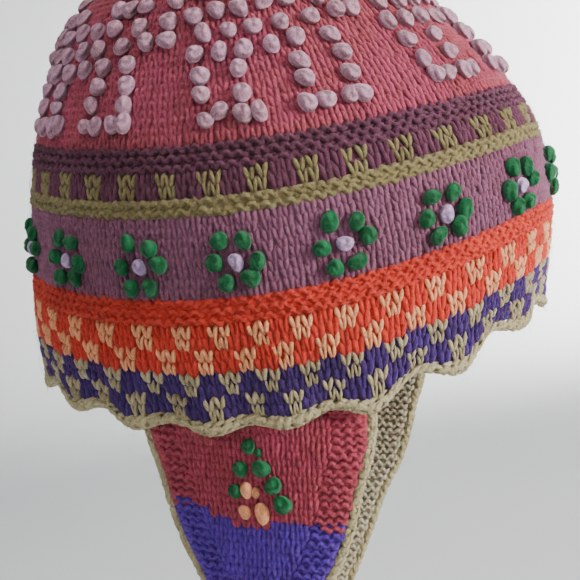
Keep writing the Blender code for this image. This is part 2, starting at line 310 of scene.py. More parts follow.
class HatYarnSettings(PropertyGroup):
    """Colours of the yarns."""

    __annotations__ = {
        key: FloatVectorProperty(name=label, description=label + " yarn", subtype="COLOR",
                                 size=3, min=0.0, max=1.0, default=linear(*rgb))
        for key, (label, _, rgb) in YARNS.items()
    }


class HatKnitSettings(PropertyGroup):
    """Sizes of the knitting that a maker would change."""

    check_round: IntProperty(
        name="Check stitches", description="Stitches round the check bands, four to a repeat",
        default=148, min=40, max=240)
    flower_round: IntProperty(
        name="Flower stitches", description="Stitches round the flower band", default=144,
        min=40, max=240)
    tooth_round: IntProperty(
        name="Tooth stitches", description="Stitches round the plum band, four to a tooth",
        default=136, min=40, max=240)
    stitch_depth: FloatProperty(
        name="Stitch depth", description="How far the stitches' backs lie inside the face",
        default=0.00135, unit="LENGTH", subtype="DISTANCE")
    ground_depth: FloatProperty(
        name="Ground depth", description="How far the cloth behind the stitches lies inside",
        default=0.0007, unit="LENGTH", subtype="DISTANCE")
    crown_row: FloatProperty(
        name="Crown row", description="Height of a row of the crown", default=0.00305,
        unit="LENGTH", subtype="DISTANCE")
    flap_row: FloatProperty(
        name="Flap row", description="Height of a row of the flaps", default=0.0029,
        unit="LENGTH", subtype="DISTANCE")
    flap_stitch: FloatProperty(
        name="Flap stitch", description="Width of a stitch of the flaps", default=0.0036,
        unit="LENGTH", subtype="DISTANCE")
    link: FloatProperty(
        name="Crochet link", description="Length of a link of the crochet edges",
        default=0.0036, unit="LENGTH", subtype="DISTANCE")
    fibre: FloatProperty(
        name="Loose fibre", description="Usual length of a loose fibre", default=0.0036,
        unit="LENGTH", subtype="DISTANCE")


def smooth(rows, column, height):
    """One column of a table at heights, on a smooth curve through its rows."""
    knots, values = rows[:, 0], rows[:, column]
    last = len(rows) - 1
    low = np.maximum(np.arange(len(rows)) - 1, 0)
    high = np.minimum(np.arange(len(rows)) + 1, last)
    slopes = (values[high] - values[low]) / (knots[high] - knots[low])
    place = np.clip(np.searchsorted(knots, height) - 1, 0, last - 1)
    span = knots[place + 1] - knots[place]
    share = np.clip((height - knots[place]) / span, 0.0, 1.0)
    rise = share * share * (3.0 - 2.0 * share)
    leave = share * (1.0 - share) ** 2 * slopes[place] * span
    arrive = share * share * (share - 1.0) * slopes[place + 1] * span
    return values[place] + (values[place + 1] - values[place]) * rise + leave + arrive


def round_end(share):
    """Narrowing of a round end, from 1 at its start to 0 at its tip."""
    return np.sqrt(np.maximum(1.0 - share * share, 0.0))


def cap_reach(height):
    """Reach of the cap to the front, to the back and to each side at heights."""
    share = height / CAP_HEIGHT
    half_length = round_end(share) * CAP_LENGTH / 2
    front = half_length * smooth(CAP_SECTIONS, 1, share)
    back = half_length * smooth(CAP_SECTIONS, 2, share)
    return front, back, (front + back) / 2 * CAP_WIDTH / CAP_LENGTH


def row_level(angle, height):
    """Level of the rows at angles: they sag over the ears and climb at the back."""
    climb = np.clip(height / PLUM_RIDGE_TOP, 0.0, 1.0)
    fade = np.clip((CAP_HEIGHT - height) / CROWN_HEIGHT, 0.0, 1.0)
    dip = fade * (RIM_EAR_DIP + (CROWN_EAR_DIP - RIM_EAR_DIP) * climb)
    lift = fade * (RIM_BACK_LIFT + (CROWN_BACK_LIFT - RIM_BACK_LIFT) * climb)
    return height - dip * np.cos(angle) ** 2 + lift * np.sin(angle) - SEAT_HEIGHT


def cap_surface(angle, height):
    """Points on the cap's smooth outer face."""
    front, back, side = cap_reach(height)
    reach = np.where(np.sin(angle) > 0.0, back, front)
    return np.stack((side * np.cos(angle), reach * np.sin(angle), row_level(angle, height)), -1)


def ruffle(angle, height):
    """How the rim's ruffle moves points. It fades out up the violet band."""
    share = np.interp(np.mod(angle, math.tau), ROUND_ANGLES, ROUND_SHARES)
    share = RUFFLE[0, 0] + np.mod(share - RUFFLE[0, 0], 1.0)
    dips, depths, climbs = RUFFLE.T
    wave = 0.5 + 0.5 * np.cos(math.tau * np.interp(share, dips, np.arange(len(dips))))
    strength = np.clip(1.0 - height / ORANGE_CHECK_TOP * 1.3, 0.0, None) ** 2
    flare = strength * RUFFLE_FLARE * wave
    drop = np.interp(share, dips, depths) * wave - np.interp(share, dips, climbs) * (1.0 - wave)
    return np.stack((flare * np.cos(angle), flare * np.sin(angle), -strength * drop * MM), -1)


def cap_point(angle, height, depth):
    """Points that lie a depth inside the cap's outer face."""
    height = np.minimum(height, CAP_HEIGHT - TIP)
    turn = PROBE / CAP_WIDTH
    rise = np.minimum(PROBE, (CAP_HEIGHT - height) / 2)
    around = cap_surface(angle + turn, height) - cap_surface(angle - turn, height)
    up = cap_surface(angle, height + rise) - cap_surface(angle, height - rise)
    inward = np.cross(up, around)
    inward /= np.linalg.norm(inward, axis=-1, keepdims=True)
    return cap_surface(angle, height) + inward * depth[:, None] + ruffle(angle, height)


ROUND_ANGLES = np.linspace(0.0, math.tau, 2049)


def run(steps):
    """How far along each point is, from the steps between the points."""
    return np.concatenate(((0.0,), np.cumsum(steps)))


def round_steps(height):
    """Lengths of the steps once round the cap at one height."""
    ring = cap_surface(ROUND_ANGLES, np.full(len(ROUND_ANGLES), height))
    return np.linalg.norm(np.diff(ring[:, :2], axis=0), axis=1)


def girth(height):
    """Length once round the cap at one height."""
    return float(round_steps(height).sum())


# Shares of the way round at the angles, measured across the flower band
ROUND_SHARES = run(round_steps(0.045)) / round_steps(0.045).sum()


def angle_at(share):
    """Angles at shares of the way round, measured along the cloth from the wearer's left."""
    return np.interp(np.mod(share, 1.0), ROUND_SHARES, ROUND_ANGLES)


def on_cap(share, height, depth):
    """Points of the cap at shares of the way round."""
    return cap_point(angle_at(share), height, depth)


def cap_stretch(share, height):
    """Metres for one whole share round, and metres for one metre of height, at points."""
    flat = np.zeros(len(share))
    level = np.clip(height, 0.003, CAP_HEIGHT - 0.004)
    round_step, rise_step = 0.002, 0.0015
    around = on_cap(share + round_step, level, flat) - on_cap(share - round_step, level, flat)
    rise = on_cap(share, level + rise_step, flat) - on_cap(share, level - rise_step, flat)
    return (np.linalg.norm(around, axis=1) / (2 * round_step),
            np.linalg.norm(rise, axis=1) / (2 * rise_step))


def flap_half_width(down):
    """Half of a flap's width at distances below the rim."""
    share = np.clip(down / FLAP_LENGTH, -0.2, 1.0)
    return round_end(share) * smooth(FLAP_SECTIONS, 1, share) * FLAP_WIDTH / 2


def on_flap(side, across, down, depth):
    """Points of a flap: across towards the back, down from the rim, depth from its face."""
    front, back, half_width = (float(reach) for reach in cap_reach(np.array(0.0)))
    y = FLAP_SET_BACK + across * math.cos(FLAP_LEAN) + down * math.sin(FLAP_LEAN)
    drop = across * math.sin(FLAP_LEAN) - down * math.cos(FLAP_LEAN)
    reach = np.where(y > 0.0, back, front)
    angle = np.arcsin(np.clip(y / reach, -1.0, 1.0))
    outward = np.stack((np.cos(angle) / half_width, np.sin(angle) / reach), -1)
    outward /= np.linalg.norm(outward, axis=-1, keepdims=True)
    rest = np.clip(1.0 - down / FLAP_LENGTH, 0.0, 1.0)
    inset = WALL + FLAP_CLEARANCE + depth
    x = half_width * np.cos(angle) - FLAP_TURN_IN * (1.0 - rest * rest) - inset * outward[..., 0]
    z = row_level(0.0, 0.0) + drop
    return np.stack((side * x, y - inset * outward[..., 1], z), -1)


def flap_top(across_share):
    """Where a flap starts: tucked up inside the rim, along the rim's own line."""
    across = across_share * float(flap_half_width(0.0))
    front, back, _ = cap_reach(np.array(0.0))
    y = FLAP_SET_BACK + across * math.cos(FLAP_LEAN)
    angle = np.arcsin(y / np.where(y > 0.0, back, front))
    rim_rise = row_level(angle, 0.0) - row_level(0.0, 0.0)
    return (across * math.sin(FLAP_LEAN) - rim_rise - FLAP_TUCK_UNDER_RIM) / math.cos(FLAP_LEAN)


def flap_tip(across_share):
    """Where a flap ends."""
    return np.full(len(across_share), FLAP_LENGTH)


def notch_line(across_share):
    """Where the walls' rose gives way to violet: a flat line with a point in the middle."""
    across = np.abs(across_share) * float(flap_half_width(FLAP_ROSE_LENGTH))
    return FLAP_ROSE_LENGTH + NOTCH_DEPTH * np.clip(1.0 - across / (NOTCH_WIDTH / 2), 0.0, 1.0)


def shader_group(name, colours, values):
    """A shader group that takes colours and values, and puts out colour, roughness and relief."""
    tree = bpy.data.node_groups.new(name, "ShaderNodeTree")
    for way, kind, sockets in (("INPUT", "Color", colours), ("INPUT", "Float", values),
                               ("OUTPUT", "Color", ("Colour",)),
                               ("OUTPUT", "Float", ("Roughness", "Relief"))):
        for socket in sockets:
            tree.interface.new_socket(socket, in_out=way, socket_type="NodeSocket" + kind)
    return tree, tree.nodes.new("NodeGroupInput"), tree.nodes.new("NodeGroupOutput")


def feed(tree, source, target):
    """Set a socket to a number, or link another socket to it."""
    if isinstance(source, (int, float)):
        target.default_value = source
    else:
        tree.links.new(source, target)


def sums(tree, operation, *values):
    """A Math node of the values."""
    node = tree.nodes.new("ShaderNodeMath")
    node.operation = operation
    for value, socket in zip(values, node.inputs):
        feed(tree, value, socket)
    return node.outputs[0]


def cloud(tree, vector, scale, detail, roughness=0.5):
    """A Noise texture's value."""
    node = tree.nodes.new("ShaderNodeTexNoise")
    tree.links.new(vector, node.inputs["Vector"])
    node.inputs["Scale"].default_value = scale
    node.inputs["Detail"].default_value = detail
    node.inputs["Roughness"].default_value = roughness
    return node.outputs["Fac"]


def attribute(tree, name):
    """A named attribute of the mesh."""
    node = tree.nodes.new("ShaderNodeAttribute")
    node.attribute_name = name
    return node


def split(tree, vector):
    """The three parts of a vector."""
    node = tree.nodes.new("ShaderNodeSeparateXYZ")
    tree.links.new(vector, node.inputs[0])
    return node.outputs


def darken(tree, colour, shade, target):
    """Link a colour, multiplied by a shade of grey, to a socket."""
    mixed = tree.nodes.new("ShaderNodeMix")
    mixed.data_type = "RGBA"
    mixed.blend_type = "MULTIPLY"
    mixed.inputs["Factor"].default_value = 1.0
    grey = tree.nodes.new("ShaderNodeCombineColor")
    for socket in grey.inputs[:3]:
        tree.links.new(shade, socket)
    tree.links.new(colour, mixed.inputs["A"])
    tree.links.new(grey.outputs[0], mixed.inputs["B"])
    tree.links.new(mixed.outputs["Result"], target)


def spun_wool_group():
    """Colour, roughness and relief of spun wool that runs along each strand. Its colour holds
    painted shade: lighter on the ply's crests and each strand's top, darker in the grooves and
    underneath.
    """
    tree, start, end = shader_group("spun_wool", ("Colour", "Heather"), ("Mottle", "Ply"))
    along, cosine, sine = split(tree, attribute(tree, "strand").outputs["Vector"])
    tone = attribute(tree, "tone").outputs["Fac"]
    place = tree.nodes.new("ShaderNodeTexCoord").outputs["Object"]

    turn = sums(tree, "MULTIPLY", along, 2.6)
    ply = sums(tree, "ADD", sums(tree, "MULTIPLY", sums(tree, "SINE", turn), cosine),
               sums(tree, "MULTIPLY", sums(tree, "COSINE", turn), sine))
    fine = cloud(tree, place, 1300.0, 4.0, 0.75)
    patch = cloud(tree, place, 170.0, 2.0)
    broad = cloud(tree, place, 30.0, 1.0)
    lengthwise = tree.nodes.new("ShaderNodeCombineXYZ")
    feed(tree, sums(tree, "MULTIPLY", along, 0.5), lengthwise.inputs[0])
    feed(tree, sums(tree, "MULTIPLY_ADD", tone, 40.0, cosine), lengthwise.inputs[1])
    feed(tree, sine, lengthwise.inputs[2])
    streak = cloud(tree, lengthwise.outputs[0], 3.2, 2.0, 0.6)

    grooves = sums(tree, "MULTIPLY", ply, start.outputs["Ply"])
    relief = sums(tree, "MULTIPLY_ADD", sums(tree, "ADD", fine, streak), 0.9, grooves)
    feed(tree, relief, end.inputs["Relief"])

    shade = sums(tree, "MULTIPLY_ADD", tone, 0.16, -0.40)
    # Painted shade: grooves makes the colour lighter on the ply's crests and darker in its
    # grooves, and sine, which on laid yarn is the side facing out of the cloth, makes each strand
    # lighter on top and darker underneath
    for value, weight in ((fine, 1.50), (streak, 1.10), (grooves, 0.12), (sine, 0.10)):
        shade = sums(tree, "MULTIPLY_ADD", value, weight, shade)
    uneven = sums(tree, "SUBTRACT", sums(tree, "ADD", patch, broad), 1.0)
    shade = sums(tree, "ADD", shade, sums(tree, "MULTIPLY", uneven, start.outputs["Mottle"]))
    blend = tree.nodes.new("ShaderNodeMix")
    blend.data_type = "RGBA"
    feed(tree, sums(tree, "MULTIPLY_ADD", uneven, 2.2, 0.5), blend.inputs["Factor"])
    tree.links.new(start.outputs["Colour"], blend.inputs["A"])
    tree.links.new(start.outputs["Heather"], blend.inputs["B"])
    darken(tree, blend.outputs["Result"], shade, end.inputs["Colour"])
    feed(tree, sums(tree, "MULTIPLY_ADD", patch, 0.12, 0.80), end.inputs["Roughness"])
    return tree


def purl_cloth_group():
    """Colour, roughness and relief of the purl side, whose rows follow the piece's own map. Its
    colour holds painted shade: a little darker than the stitches, and darker between the purl
    bumps.
    """
    tree, start, end = shader_group("purl_cloth", ("Colour",), ("Mottle",))
    chart = tree.nodes.new("ShaderNodeUVMap")
    chart.uv_map = "stitches"
    place = tree.nodes.new("ShaderNodeTexCoord").outputs["Object"]
    wale, row, _ = split(tree, chart.outputs[0])

    arch = sums(tree, "COSINE", sums(tree, "MULTIPLY", wale, math.tau))
    level = sums(tree, "MULTIPLY", row, math.tau)
    upper = sums(tree, "SINE", sums(tree, "MULTIPLY_ADD", arch, 1.1, level))
    lower = sums(tree, "SINE", sums(tree, "MULTIPLY_ADD", arch, -1.1, level))
    bumps = sums(tree, "MAXIMUM", upper, sums(tree, "MULTIPLY", lower, -1.0))
    fine = cloud(tree, place, 2200.0, 2.0, 0.6)
    patch = cloud(tree, place, 140.0, 2.0)
    feed(tree, sums(tree, "MULTIPLY_ADD", fine, 0.5, bumps), end.inputs["Relief"])

    # Painted shade: the cloth is painted a little darker than its yarn, as the shade seen in the
    # gaps between stitches, and lighter on the purl bumps' crests than between them
    shade = sums(tree, "MULTIPLY_ADD", bumps, 0.14, 0.74)
    shade = sums(tree, "MULTIPLY_ADD", fine, 0.25, shade)
    uneven = sums(tree, "SUBTRACT", patch, 0.5)
    shade = sums(tree, "ADD", shade, sums(tree, "MULTIPLY", uneven, start.outputs["Mottle"]))
    darken(tree, start.outputs["Colour"], shade, end.inputs["Colour"])
    feed(tree, sums(tree, "MULTIPLY_ADD", patch, 0.1, 0.84), end.inputs["Roughness"])
    return tree


def wool(yarn, group="spun_wool", ply=0.3, mottle=0.8, relief=0.0009):
    """The material of a yarn, spun or as purl cloth. It is made once."""
    name = f"{group}_{yarn}"
    if name in bpy.data.materials:
        return bpy.data.materials[name]
    makers = {"spun_wool": spun_wool_group, "purl_cloth": purl_cloth_group}
    tree = bpy.data.node_groups.get(group) or makers[group]()
    colour = getattr(bpy.context.scene.hat_yarns, yarn)
    material = bpy.data.materials.new(name)
    material.use_nodes = True
    nodes, links = material.node_tree.nodes, material.node_tree.links
    shader = nodes["Principled BSDF"]
    look = nodes.new("ShaderNodeGroup")
    look.node_tree = tree
    look.inputs["Colour"].default_value = (*colour, 1.0)
    look.inputs["Mottle"].default_value = mottle
    if group == "spun_wool":
        # Ply sets how deep the twist's grooves are in relief, and how strong their painted shade
        # is
        look.inputs["Ply"].default_value = ply
        heather = np.multiply(colour, HEATHERS.get(yarn, HEATHER))
        look.inputs["Heather"].default_value = (*heather, 1.0)
    bump = nodes.new("ShaderNodeBump")
    bump.inputs["Strength"].default_value = 0.8
    bump.inputs["Distance"].default_value = relief
    links.new(look.outputs["Colour"], shader.inputs["Base Color"])
    links.new(look.outputs["Roughness"], shader.inputs["Roughness"])
    links.new(look.outputs["Relief"], bump.inputs["Height"])
    links.new(bump.outputs["Normal"], shader.inputs["Normal"])
    for socket, value in WOOL_SURFACE.items():
        shader.inputs[socket].default_value = value
    tint = tuple(0.3 + 0.7 * channel for channel in colour)
    shader.inputs["Sheen Tint"].default_value = (*tint, 1.0)
    material.diffuse_color = (*colour, 1.0)
    return material


def make_piece(name, mesh, yarn, group="spun_wool", replaces=(), **finish):
    """An object of a mesh that rides on the hat, in its yarn and standing for its nodes."""
    mesh.materials.clear()
    mesh.materials.append(wool(yarn, group, **finish))
    mesh.shade_smooth()
    piece = bpy.data.objects.new(name, mesh)
    bpy.context.scene.collection.objects.link(piece)
    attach(piece, "root")
    if replaces:
        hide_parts(*replaces)
    return piece


def new_template():
    """An empty mesh that can say how far along and where round a strand each point is."""
    mesh = bmesh.new()
    mesh.verts.layers.float_vector.new("strand")
    return mesh


def add_yarn(mesh, path, radii, sides):
    """Add a closed length of yarn along a path, as thick as the radii."""
    strand = mesh.verts.layers.float_vector["strand"]
    steps = len(path) - 1
    tube = bmesh.ops.create_cone(mesh, cap_ends=True, segments=sides, radius1=1.0,
                                 radius2=1.0, depth=1.0)["verts"]
    new = set(tube)
    long = [edge for edge in mesh.edges
            if edge.verts[0] in new and abs(edge.verts[0].co.z - edge.verts[1].co.z) > 0.5]
    bmesh.ops.subdivide_edges(mesh, edges=long, cuts=steps - 1, use_grid_fill=True)
    points = np.array(path, float)
    tangents = np.gradient(points, axis=0)
    lengths = np.cumsum((1.0, *np.linalg.norm(np.diff(points, axis=0), axis=1)))
    for vert in mesh.verts:
        # The points of a yarn that was added before have their place already
        if vert[strand].x > 0.0:
            continue
        step = round((vert.co.z + 0.5) * steps)
        across = np.cross(tangents[step], (0.0, 0.0, 1.0))
        across /= np.linalg.norm(across)
        out = np.cross(across, tangents[step])
        out /= np.linalg.norm(out)
        x, y = vert.co.x, vert.co.y
        vert[strand] = (lengths[step], x, y)
        vert.co = points[step] + (across * x + out * y) * radii[step]
    return mesh


def knit_stitch(path=LEG_PATH, radii=LEG_RADII):
    """A plain stitch: two legs that stand in a V."""
    mesh = new_template()
    add_yarn(mesh, path, radii, 5)
    return add_yarn(mesh, [(STITCH_WIDE - x, y, z) for x, y, z in path], radii, 5)


def open_stitch():
    """A plain stitch of thinner yarn whose legs stand wider open."""
    return knit_stitch(OPEN_PATH, OPEN_RADII)


def purl_stitch():
    """A purl bump: a loop that arches over and the one beside it that hangs under."""
    mesh = new_template()
    add_yarn(mesh, HEAD_LOOP, LOOP_RADII, 4)
    return add_yarn(mesh, SINKER_LOOP, LOOP_RADII, 4)


def turned(line, closed, steps):
    """A mesh of a line of (outward, up) points turned once round the upright axis."""
    mesh = bmesh.new()
    corners = [mesh.verts.new((outward, 0.0, up)) for outward, up in line]
    ends = corners[1:] + corners[:1] if closed else corners[1:]
    edges = [mesh.edges.new(pair) for pair in zip(corners, ends)]
    bmesh.ops.spin(mesh, geom=corners + edges, cent=(0, 0, 0), axis=(0, 0, 1),
                   angle=math.tau, steps=steps, use_merge=True)
    return mesh


def as_data(mesh, name):
    """The finished data of a mesh."""
    data = bpy.data.meshes.new(name)
    mesh.to_mesh(data)
    mesh.free()
    return data


def knot():
    """A round knot of wound yarn with soft lobes, about one unit in radius."""
    mesh = new_template()
    strand = mesh.verts.layers.float_vector["strand"]
    bmesh.ops.create_uvsphere(mesh, u_segments=14, v_segments=9, radius=1.0)
    for vert in mesh.verts:
        turn = math.atan2(vert.co.y, vert.co.x)
        level = math.hypot(vert.co.x, vert.co.y)
        vert[strand] = (2.2 * vert.co.z, math.cos(2.0 * turn), math.sin(2.0 * turn))
        lobes = 0.05 * math.cos(2.0 * turn) * level ** 2
        lobes += 0.07 * math.cos(3.0 * turn + 1.0) * math.sin(2.6 * level) - 0.04 * (1.0 - level)
        vert.co *= 1.0 + lobes
    return mesh


def fibre():
    """A loose fibre, one unit long and one unit in radius at its root."""
    return add_yarn(new_template(), ((0, 0, 0), (0.5, 0, 0), (1, 0, 0)), (1.0, 0.9, 0.4), 3)


def face_outward(mesh):
    """Turn a mesh's faces round if they point inwards."""
    mesh.calc_loop_triangles()
    corners = np.empty(len(mesh.loop_triangles) * 3, np.int32)
    points = np.empty(len(mesh.vertices) * 3, np.float32)
    mesh.loop_triangles.foreach_get("vertices", corners)
    mesh.vertices.foreach_get("co", points)
    a, b, c = (points.reshape(-1, 3)[corners.reshape(-1, 3)[:, k]] for k in range(3))
    middle = points.reshape(-1, 3).mean(axis=0)
    if np.einsum("ij,ij->", a - middle, np.cross(b - middle, c - middle)) < 0.0:
        mesh.flip_normals()


def lay(name, template, cells, place, yarn, seed, **finish):
    """Lay a copy of a template in every cell, and make one piece of them.

    The copies come from an Array modifier. place turns the template's own points, and the
    cells' values for each of them, into points of the hat.
    """
    count = len(next(iter(cells.values())))
    source = as_data(template, name)
    each = len(source.vertices)
    points = np.empty(each * 3, np.float32)
    source.vertices.foreach_get("co", points)
    holder = bpy.data.objects.new(name + "_array", source)
    bpy.context.scene.collection.objects.link(holder)
    array = holder.modifiers.new("Copies", "ARRAY")
    array.use_relative_offset = False
    array.use_constant_offset = True
    array.constant_offset_displace = (1.0, 0.0, 0.0)
    array.count = count
    depsgraph = bpy.context.evaluated_depsgraph_get()
    mesh = bpy.data.meshes.new_from_object(
        holder.evaluated_get(depsgraph), preserve_all_data_layers=True, depsgraph=depsgraph)
    bpy.data.objects.remove(holder)
    bpy.data.meshes.remove(source)
    mesh.name = name

    local = np.tile(points.reshape(-1, 3).astype(float), (count, 1))
    cell = {key: np.repeat(np.asarray(values, float), each) for key, values in cells.items()}
    mesh.vertices.foreach_set("co", place(local, cell).astype(np.float32).ravel())
    tones = cells.get("tone", np.random.default_rng(SEED + seed).random(count))
    tone = mesh.attributes.new("tone", "FLOAT", "POINT")
    tone.data.foreach_set("value", np.repeat(tones, each).astype(np.float32))
    mesh.update()
    face_outward(mesh)
    return make_piece(name, mesh, yarn, **finish)


def stack(rows):
    """One table of cells from a list of tables."""
    return {key: np.concatenate([row[key] for row in rows]) for key in rows[0]}


def only(cells, chosen):
    """The cells that are chosen."""
    return {key: values[chosen] for key, values in cells.items()}


def cap_rows(bottom, top, rows, stitches, phase=0.0):
    """Cells of even rows round the cap, with each one's number round and row."""
    number = np.arange(stitches)
    tables = []
    for row in range(rows):
        low = bottom + (top - bottom) * row / rows
        tables.append({
            "left": (number + phase) / stitches,
            "share": np.full(stitches, 1.0 / stitches),
            "low": np.full(stitches, low),
            "tall": np.full(stitches, (top - bottom) / rows),
            "number": number,
            "row": np.full(stitches, row),
        })
    return stack(tables)


def uneven(cells, seed, amount=0.08):
    """The cells, each pulled a little out of place as hand knitting is."""
    draws = np.random.default_rng(SEED + seed).normal(size=(3, len(cells["left"])))
    cells["left"] = cells["left"] + amount * draws[0] * cells["share"]
    cells["low"] = cells["low"] + amount * draws[1] * cells["tall"]
    cells["lift"] = 0.12 * MM * draws[2]
    return cells


def squeezed(cells, first, count, light, narrow):
    """The cells of a two-colour pattern of pairs, with the light pairs narrower at their foot.

    first is the number of a pair's first stitch, and count the stitches round.
    """
    pair = (cells["number"] - first) // 2
    middle = (2 * pair + first + 1) / count + cells["shift"]
    foot = cells["row"] % 2 == 0
    scale = np.where(light, np.where(foot, narrow, LIGHT_TOP),
                     np.where(foot, 2.0 - narrow, 2.0 - LIGHT_TOP))
    cells["left"] = middle + (cells["left"] - middle) * scale
    cells["share"] = cells["share"] * scale
    return cells


def cap_place(depth, tall):
    """How a stitch template, tall millimetres high, goes on the cap at a depth."""
    def place(local, cell):
        share = cell["left"] + cell["share"] * local[:, 0] / STITCH_WIDE
        height = cell["low"] + cell["tall"] * local[:, 1] / tall
        return on_cap(share, height, depth - cell["lift"] - local[:, 2] * MM)
    return place


def finish_wall(mesh, name, node, yarn):
    """Weld a wall's mesh and make it a piece that stands for its node."""
    bmesh.ops.remove_doubles(mesh, verts=mesh.verts, dist=WELD)
    bmesh.ops.recalc_face_normals(mesh, faces=mesh.faces)
    return make_piece(name, as_data(mesh, name), yarn, "purl_cloth", (node,), mottle=0.3,
                      relief=0.0006)


def cap_wall(name, node, profile, closed, yarn, stitches=WALL_STITCHES):
    """The cloth behind the stitches: a profile of (height, depth) turned once round."""
    mesh = turned([(1.0 - depth, height) for height, depth in profile], closed, WALL_STEPS)
    turns = mesh.verts.layers.float.new("turn")
    rises = mesh.verts.layers.float.new("rise")
    points = np.array([vert.co for vert in mesh.verts])
    angle = np.mod(np.arctan2(points[:, 1], points[:, 0]), math.tau)
    place = cap_point(angle, points[:, 2], 1.0 - np.hypot(points[:, 0], points[:, 1]))
    share = np.interp(angle, ROUND_ANGLES, ROUND_SHARES)
    for index, vert in enumerate(mesh.verts):
        vert[turns], vert[rises] = share[index], points[index, 2]
        vert.co = place[index]
    chart = mesh.loops.layers.uv.new("stitches")
    for face in mesh.faces:
        wraps = max(vert[turns] for vert in face.verts) > 0.75
        for loop in face.loops:
            turn = loop.vert[turns]
            turn += 1.0 if wraps and turn < 0.25 else 0.0
            loop[chart].uv = (turn * stitches, loop.vert[rises] / WALL_ROW)
    return finish_wall(mesh, name, node, yarn)


def flap_wall(name, node, side, start, end, face, thickness, yarn):
    """The cloth behind a flap's stitches, between two lines across it."""
    mesh = bmesh.new()
    bmesh.ops.create_grid(mesh, x_segments=20, y_segments=20, size=1.0)
    bmesh.ops.solidify(mesh, geom=mesh.faces[:], thickness=1.0)
    points = np.array([vert.co for vert in mesh.verts])
    share = np.sin((1.0 - points[:, 1]) / 2 * math.pi / 2)
    top = start(points[:, 0])
    down = top + (end(points[:, 0]) - top) * share
    across = points[:, 0] * flap_half_width(down)
    out = points[:, 2] - points[:, 2].min()
    place = on_flap(side, across, down, face + out * thickness)
    chart = mesh.loops.layers.uv.new("stitches")
    for index, vert in enumerate(mesh.verts):
        vert.co = place[index]
        for loop in vert.link_loops:
            loop[chart].uv = (across[index] / FLAP_WALL_STITCH, -down[index] / FLAP_WALL_ROW)
    return finish_wall(mesh, name, node, yarn)


class HAT_OT_walls(Operator):
    """Make the cloth of the cap and the flaps that lies behind the stitches."""

    bl_idname = "hat.walls"
    bl_label = "Cloth walls"

    def execute(self, context):
        knit = context.scene.hat_knit
        half = GAP / 2
        for node, yarn, bottom, top in BANDS:
            low, high = bottom + half, top - half
            face = knit.ground_depth * (RIDGE_DEPTH_SHARE if node.endswith("ridge") else 1.0)
            outer = [(low + (high - low) * row / WALL_ROWS, face)
                     for row in range(WALL_ROWS + 1)]
            inner = [(height, WALL) for height, _ in reversed(outer)]
            wall = cap_wall(node + "_wall", node, outer + inner, True, yarn)
            wall["flat"] = (girth((low + high) / 2), high - low)
        base = PLUM_RIDGE_TOP + half
        start = math.asin(base / CAP_HEIGHT)
        turns = np.linspace(math.pi / 2, start, 15)
        outer = [(CAP_HEIGHT * math.sin(turn), knit.ground_depth) for turn in turns]
        inner = [(CAP_HEIGHT * math.sin(turn), WALL) for turn in reversed(turns)]
        crown = cap_wall("crown_wall", "crown", outer + inner, False, "rose",
                         CROWN_WALL_STITCHES)
        crown["flat"] = (girth(base), crown_rise()[1][-1])

        thin = FLAP_WALL - FLAP_FACE_DEPTH
        panels = (
            ("flap_rose_", "flap_rose", flap_top, lambda share: notch_line(share) - half,
             FLAP_FACE_DEPTH, thin),
            ("flap_violet_", "flap_violet", lambda share: notch_line(share) + half,
             flap_tip, FLAP_FACE_DEPTH, thin),
            ("flap_lining_", "lining", flap_top, flap_tip, FLAP_WALL + GAP,
             FLAP_LINING_THICKNESS),
        )
        for suffix, side in SIDES:
            for name, yarn, top, bottom, depth, thickness in panels:
                wall = flap_wall(name + suffix + "_wall", name + suffix, side, top, bottom,
                                 depth, thickness, yarn)
                middle = np.zeros(1)
                wall["flat"] = (FLAP_WIDTH, float((bottom(middle) - top(middle))[0]))
        return {"FINISHED"}


def crown_rise():
    """Heights up the crown, and how far up the cloth each of them is."""
    start = math.asin(PLUM_RIDGE_TOP / CAP_HEIGHT)
    heights = CAP_HEIGHT * np.sin(np.linspace(start, math.pi / 2 - 0.002, 240))
    radii = np.array([girth(height) for height in heights]) / math.tau
    return heights, run(np.hypot(np.diff(radii), np.diff(heights)))


class HAT_OT_bands(Operator):
    """Knit the stitches of the check bands, the flower band and the plum band."""

    bl_idname = "hat.bands"
    bl_label = "Band stitches"

    def execute(self, context):
        knit = context.scene.hat_knit
        plain = cap_place(knit.stitch_depth, STITCH_TALL)
        checks = (
            ("violet_check", "violet", "stone", RIM_EDGING_TOP, VIOLET_CHECK_TOP,
             VIOLET_NARROW, 1),
            ("orange_check", "orange", "peach", VIOLET_CHECK_TOP, ORANGE_CHECK_TOP,
             ORANGE_NARROW, 2),
        )
        for name, ground, other, bottom, top, narrow, seed in checks:
            cells = cap_rows(bottom, top, CHECK_ROWS, knit.check_round)
            cells["shift"] = np.interp(cells["left"], *PULLS.T)
            cells["left"] = cells["left"] + cells["shift"]
            column = (cells["number"] + 1) // 2 % 2
            motif = (cells["row"] // 2 == 1) == (column == 0)
            cells = uneven(squeezed(cells, -1, knit.check_round, motif, narrow), seed)
            lay(name + "_ground", knit_stitch(), only(cells, ~motif), plain, ground, seed)
            lay(name + "_motif", open_stitch(), only(cells, motif), plain, other, seed + 20)

        cells = cap_rows(ORANGE_RIDGE_TOP, FLOWER_BAND_TOP, FLOWER_ROWS, knit.flower_round)
        lay("flower_stitches", knit_stitch(), uneven(cells, 3), plain, "mauve", 3)

        cells = cap_rows(OLIVE_RIDGE_TOP, PLUM_TEETH_TOP, TOOTH_ROWS, knit.tooth_round,
                         TOOTH_PHASE)
        teeth = cells["number"] % 4 >= 2
        cells["shift"] = np.full(len(teeth), TOOTH_PHASE / knit.tooth_round)
        cells = uneven(squeezed(cells, 0, knit.tooth_round, teeth, TOOTH_NARROW), 4)
        lay("plum_stitches", knit_stitch(), only(cells, ~teeth), plain, "plum", 4)
        lay("olive_teeth", open_stitch(), only(cells, teeth), plain, "olive", 5)
        return {"FINISHED"}


